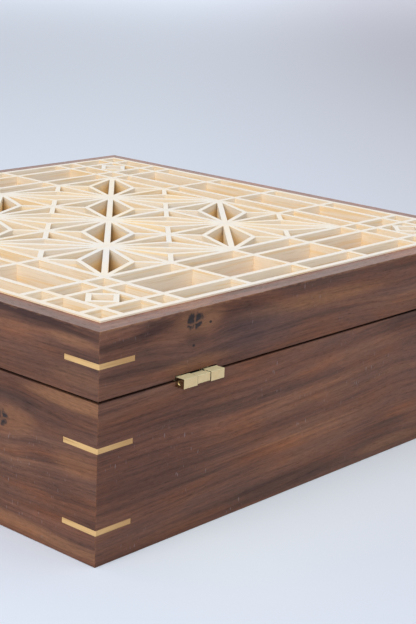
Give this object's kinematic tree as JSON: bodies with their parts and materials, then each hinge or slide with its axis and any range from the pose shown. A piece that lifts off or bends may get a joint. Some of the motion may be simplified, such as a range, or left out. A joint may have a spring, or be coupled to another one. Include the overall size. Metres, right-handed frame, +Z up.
{
  "type": "hinged wooden box",
  "caption": "Square hinged walnut keepsake box with splined mitred corners, a kumiko lattice let into its lid and small square brass stop hinges.",
  "frame": {"origin": "middle of the box's underside, on the surface that it stands on", "axes": "+Z up, -Y towards the front, +Y towards the hinged back, +X to the right seen from the front"},
  "size_m": [0.3, 0.305, 0.1027],
  "materials": {
    "walnut": "oiled walnut, satin, with darker streaks",
    "panel_walnut": "dark walnut veneered panel, matt",
    "maple": "pale hardwood splines, oiled",
    "basswood": "planed pale basswood, unfinished, matt",
    "brass": "brushed brass, satin"
  },
  "bodies": {
    "case": {"case_front": "walnut", "case_right": "walnut", "case_back": "walnut", "case_left": "walnut", "case_bottom": "panel_walnut", "case_spline_low_front_right": "maple", "case_spline_low_back_right": "maple", "case_spline_low_back_left": "maple", "case_spline_low_front_left": "maple", "case_spline_high_front_right": "maple", "case_spline_high_back_right": "maple", "case_spline_high_back_left": "maple", "case_spline_high_front_left": "maple", "hinge_case_leaf_left": "brass", "hinge_case_leaf_right": "brass", "hinge_pin_left": "brass", "hinge_pin_right": "brass", "hinge_case_screws": "brass"},
    "lid": {"lid_front": "walnut", "lid_right": "walnut", "lid_back": "walnut", "lid_left": "walnut", "lid_backing": "panel_walnut", "lid_spline_front_right": "maple", "lid_spline_back_right": "maple", "lid_spline_back_left": "maple", "lid_spline_front_left": "maple", "kumiko_frame_front": "basswood", "kumiko_frame_right": "basswood", "kumiko_frame_back": "basswood", "kumiko_frame_left": "basswood", "kumiko_bar_x_1": "basswood", "kumiko_bar_x_2": "basswood", "kumiko_bar_x_3": "basswood", "kumiko_bar_x_4": "basswood", "kumiko_bar_x_5": "basswood", "kumiko_bar_x_6": "basswood", "kumiko_bar_x_7": "basswood", "kumiko_bar_x_8": "basswood", "kumiko_bar_x_9": "basswood", "kumiko_bar_y_1": "basswood", "kumiko_bar_y_2": "basswood", "kumiko_bar_y_3": "basswood", "kumiko_bar_y_4": "basswood", "kumiko_bar_y_5": "basswood", "kumiko_bar_y_6": "basswood", "kumiko_bar_y_7": "basswood", "kumiko_bar_y_8": "basswood", "kumiko_bar_y_9": "basswood", "kumiko_diagonals": "basswood", "kumiko_folded_pieces": "basswood", "kumiko_keys": "basswood", "kumiko_diamond_front_right": "basswood", "kumiko_diamond_back_right": "basswood", "kumiko_diamond_back_left": "basswood", "kumiko_diamond_front_left": "basswood", "hinge_lid_leaf_left": "brass", "hinge_lid_leaf_right": "brass", "hinge_lid_screws": "brass"}
  },
  "joints": [
    {"name": "lid_hinge", "type": "hinge", "parent": "case", "child": "lid", "pos_m": [0, 0.1525, 0.0717], "axis": [-1, 0, 0], "range_deg": [0, 95]}
  ]
}
